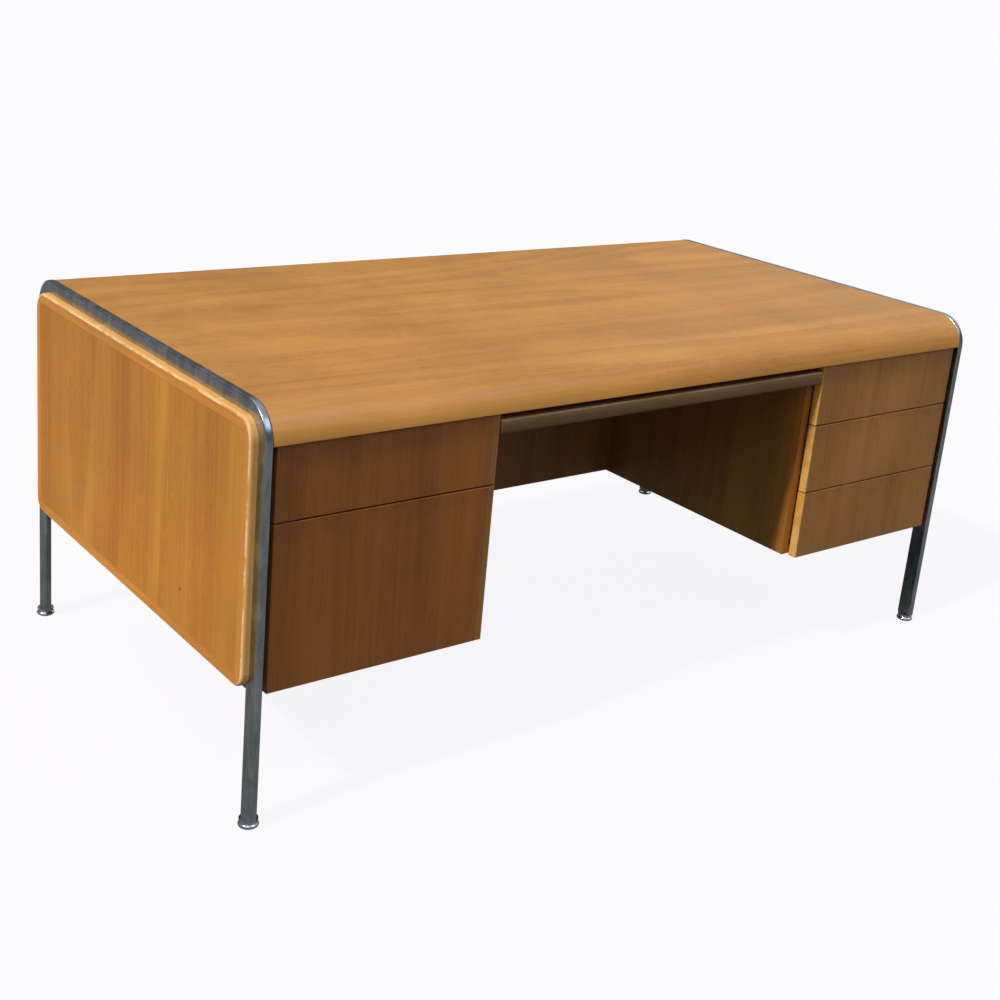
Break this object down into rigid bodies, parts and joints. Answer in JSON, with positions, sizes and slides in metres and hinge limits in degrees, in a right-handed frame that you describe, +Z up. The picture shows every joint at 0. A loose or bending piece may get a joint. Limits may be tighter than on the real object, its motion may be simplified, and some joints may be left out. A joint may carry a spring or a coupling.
{
  "type": "teacher desk",
  "caption": "Double-pedestal wooden desk on chromed flat-bar side frames, with sliding drawers, a shallow centre drawer, a kneehole and a modesty panel.",
  "frame": {"origin": "on the floor under the middle of the desk", "axes": "+X to the right of the person who sits at the desk, -Y towards that person, +Z up"},
  "size_m": [1.784, 0.943, 0.737],
  "materials": {
    "polished_chrome": "bright chrome plate, lightly worn",
    "zinc_steel": "zinc-plated steel",
    "oak_top": "satin lacquered oak veneer, grain along the desk",
    "oak_side_veneer": "satin lacquered oak veneer, upright grain",
    "oak_edging": "satin lacquered solid oak",
    "oak_drawer_front": "satin lacquered oak veneer, upright grain",
    "oak_case_veneer": "satin lacquered oak veneer, upright grain",
    "drawer_box_wood": "sealed hardwood",
    "drawer_bottom_board": "sealed thin board",
    "tray_plastic": "matt moulded plastic"
  },
  "bodies": {
    "desk": {"case_back_left": "oak_case_veneer", "case_back_right": "oak_case_veneer", "case_bottom_left": "oak_case_veneer", "case_bottom_right": "oak_case_veneer", "case_inner_side_left": "oak_case_veneer", "case_inner_side_right": "oak_case_veneer", "case_outer_side_left": "oak_case_veneer", "case_outer_side_right": "oak_case_veneer", "case_rails": "oak_case_veneer", "case_slides": "zinc_steel", "foot_glides": "polished_chrome", "frame_left": "polished_chrome", "frame_right": "polished_chrome", "frame_screws": "zinc_steel", "modesty_panel": "oak_case_veneer", "side_edging_left": "oak_edging", "side_edging_right": "oak_edging", "side_panel_left": "oak_side_veneer", "side_panel_right": "oak_side_veneer", "top_core": "oak_top", "top_nose_front": "oak_top", "top_nose_rear": "oak_top"},
    "left_box_drawer": {"left_box_bottom": "drawer_bottom_board", "left_box_ends": "drawer_box_wood", "left_box_front": "oak_drawer_front", "left_box_runners": "zinc_steel", "left_box_sides": "drawer_box_wood"},
    "left_file_drawer": {"left_file_bottom": "drawer_bottom_board", "left_file_ends": "drawer_box_wood", "left_file_front": "oak_drawer_front", "left_file_runners": "zinc_steel", "left_file_sides": "drawer_box_wood", "file_rails": "zinc_steel"},
    "right_top_drawer": {"right_top_bottom": "drawer_bottom_board", "right_top_ends": "drawer_box_wood", "right_top_front": "oak_drawer_front", "right_top_runners": "zinc_steel", "right_top_sides": "drawer_box_wood"},
    "right_middle_drawer": {"right_middle_bottom": "drawer_bottom_board", "right_middle_ends": "drawer_box_wood", "right_middle_front": "oak_drawer_front", "right_middle_runners": "zinc_steel", "right_middle_sides": "drawer_box_wood"},
    "right_bottom_drawer": {"right_bottom_bottom": "drawer_bottom_board", "right_bottom_ends": "drawer_box_wood", "right_bottom_front": "oak_drawer_front", "right_bottom_runners": "zinc_steel", "right_bottom_sides": "drawer_box_wood"},
    "centre_drawer": {"centre_bottom": "drawer_bottom_board", "centre_ends": "drawer_box_wood", "centre_front": "oak_drawer_front", "centre_runners": "zinc_steel", "centre_sides": "drawer_box_wood", "pencil_tray": "tray_plastic"},
    "left_box_slide_members": {"left_box_slide_middles": "zinc_steel"},
    "left_file_slide_members": {"left_file_slide_middles": "zinc_steel"},
    "right_top_slide_members": {"right_top_slide_middles": "zinc_steel"},
    "right_middle_slide_members": {"right_middle_slide_middles": "zinc_steel"},
    "right_bottom_slide_members": {"right_bottom_slide_middles": "zinc_steel"}
  },
  "joints": [
    {"name": "left_box_slide", "type": "slide", "parent": "desk", "child": "left_box_drawer", "axis": [0, -1, 0], "range_m": [0, 0.48]},
    {"name": "left_box_middle_slide", "type": "slide", "parent": "desk", "child": "left_box_slide_members", "axis": [0, -1, 0], "range_m": [0, 0.24]},
    {"name": "left_file_slide", "type": "slide", "parent": "desk", "child": "left_file_drawer", "axis": [0, -1, 0], "range_m": [0, 0.48]},
    {"name": "left_file_middle_slide", "type": "slide", "parent": "desk", "child": "left_file_slide_members", "axis": [0, -1, 0], "range_m": [0, 0.24]},
    {"name": "right_top_slide", "type": "slide", "parent": "desk", "child": "right_top_drawer", "axis": [0, -1, 0], "range_m": [0, 0.48]},
    {"name": "right_top_middle_slide", "type": "slide", "parent": "desk", "child": "right_top_slide_members", "axis": [0, -1, 0], "range_m": [0, 0.24]},
    {"name": "right_middle_slide", "type": "slide", "parent": "desk", "child": "right_middle_drawer", "axis": [0, -1, 0], "range_m": [0, 0.48]},
    {"name": "right_middle_middle_slide", "type": "slide", "parent": "desk", "child": "right_middle_slide_members", "axis": [0, -1, 0], "range_m": [0, 0.24]},
    {"name": "right_bottom_slide", "type": "slide", "parent": "desk", "child": "right_bottom_drawer", "axis": [0, -1, 0], "range_m": [0, 0.48]},
    {"name": "right_bottom_middle_slide", "type": "slide", "parent": "desk", "child": "right_bottom_slide_members", "axis": [0, -1, 0], "range_m": [0, 0.24]},
    {"name": "centre_slide", "type": "slide", "parent": "desk", "child": "centre_drawer", "axis": [0, -1, 0], "range_m": [0, 0.3]}
  ],
  "couplings": [
    {"joint": "left_box_middle_slide", "follows": "left_box_slide", "ratio": 0.5},
    {"joint": "left_file_middle_slide", "follows": "left_file_slide", "ratio": 0.5},
    {"joint": "right_top_middle_slide", "follows": "right_top_slide", "ratio": 0.5},
    {"joint": "right_middle_middle_slide", "follows": "right_middle_slide", "ratio": 0.5},
    {"joint": "right_bottom_middle_slide", "follows": "right_bottom_slide", "ratio": 0.5}
  ]
}
